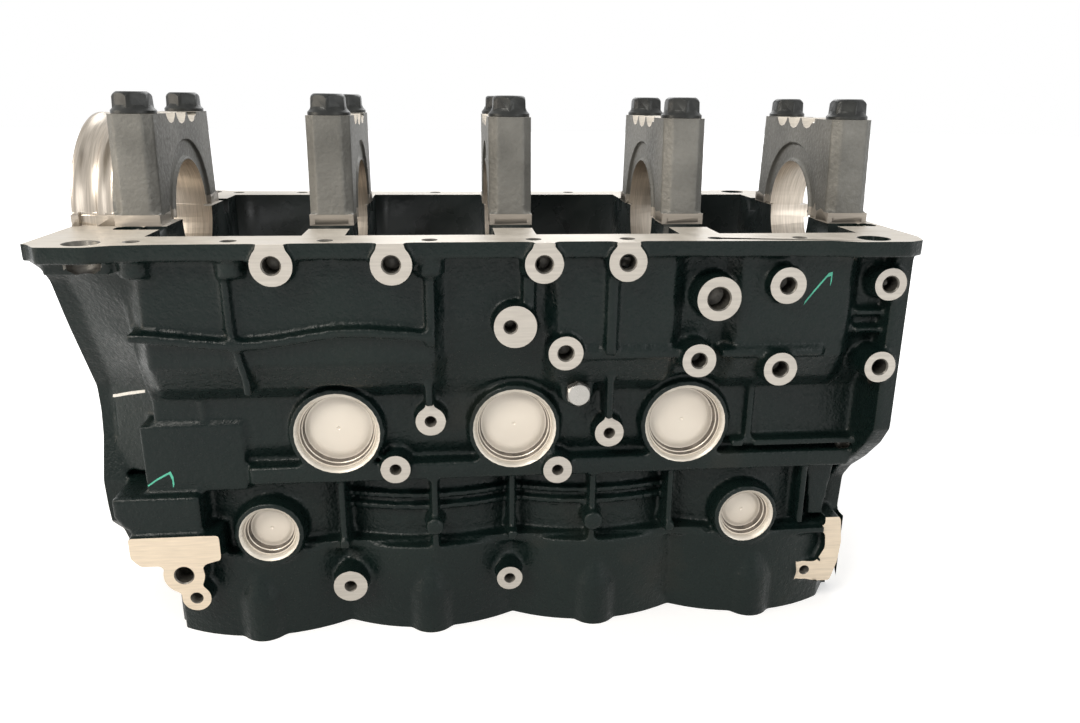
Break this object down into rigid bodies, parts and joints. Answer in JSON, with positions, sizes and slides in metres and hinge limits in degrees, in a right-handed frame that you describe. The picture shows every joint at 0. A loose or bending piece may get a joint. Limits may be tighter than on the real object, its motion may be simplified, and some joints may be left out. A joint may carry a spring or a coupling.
{
  "type": "engine block",
  "caption": "Inline engine block standing on its deck: scalloped water-jacket walls, ribbed and bossed crankcase skirts, machined sump rail and bolted main bearing caps.",
  "frame": {"origin": "on the deck face, in the plane of the cylinder axes, midway between the two middle cylinders", "axes": "+X along the crankshaft from the flywheel end to the timing end, +Z from the deck face up to the sump rail"},
  "size_m": [0.456, 0.262, 0.3125],
  "materials": {
    "painted_casting": "dark green-black paint on cast iron, machined faces bare",
    "bare_casting": "bare as cast with machined foot",
    "bolt_steel": "dark oiled steel",
    "plug_steel": "pale plated pressed steel",
    "zinc_steel": "bright zinc"
  },
  "bodies": {
    "root": {"block_casting": "painted_casting", "cap_bolt_2_far": "bolt_steel", "cap_bolt_2_near": "bolt_steel", "cap_bolt_3_far": "bolt_steel", "cap_bolt_3_near": "bolt_steel", "cap_bolt_4_far": "bolt_steel", "cap_bolt_4_near": "bolt_steel", "cap_bolt_front_far": "bolt_steel", "cap_bolt_front_near": "bolt_steel", "cap_bolt_rear_far": "bolt_steel", "cap_bolt_rear_near": "bolt_steel", "core_plug_far_1": "plug_steel", "core_plug_far_2": "plug_steel", "core_plug_far_3": "plug_steel", "core_plug_near_1": "plug_steel", "core_plug_near_2": "plug_steel", "core_plug_near_3": "plug_steel", "gallery_hex_plug": "zinc_steel", "gallery_plug_front": "zinc_steel", "gallery_plug_rear": "zinc_steel", "main_cap_2": "bare_casting", "main_cap_3": "bare_casting", "main_cap_4": "bare_casting", "main_cap_front": "bare_casting", "main_cap_rear": "bare_casting", "small_plug_far_front": "plug_steel", "small_plug_far_rear": "plug_steel", "small_plug_near_front": "plug_steel", "small_plug_near_rear": "plug_steel"}
  },
  "joints": []
}
